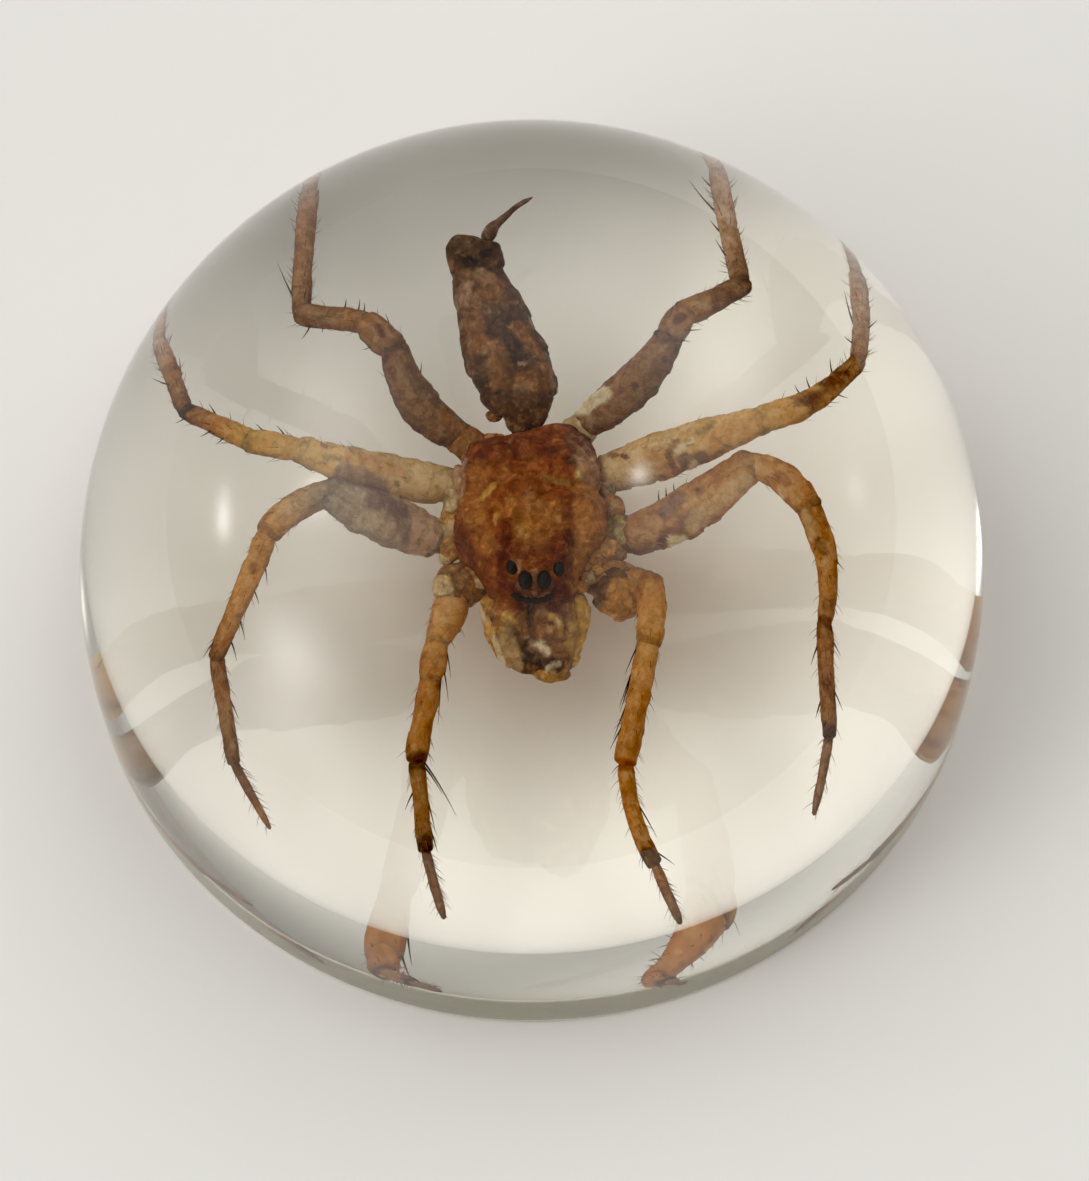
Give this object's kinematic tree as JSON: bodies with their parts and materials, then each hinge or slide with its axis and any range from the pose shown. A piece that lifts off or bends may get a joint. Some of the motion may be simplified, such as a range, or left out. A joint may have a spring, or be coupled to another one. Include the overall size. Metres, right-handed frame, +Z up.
{
  "type": "spider in resin dome",
  "caption": "Dried spider with its legs spread, cast inside a clear round resin dome with a flat underside to rest on.",
  "frame": {"origin": "centre of the dome's flat underside", "axes": "+Z up out of the underside to the crown; the spider's head points to -Y and its right-hand legs in the picture lie to +X"},
  "size_m": [0.04, 0.04, 0.0194],
  "materials": {
    "resin": "clear, polished",
    "chitin": "dry, wrinkled, amber to dark brown"
  },
  "bodies": {
    "root": {"resin_dome_base": "resin", "resin_dome_upper": "resin", "spider": "chitin"}
  },
  "joints": []
}
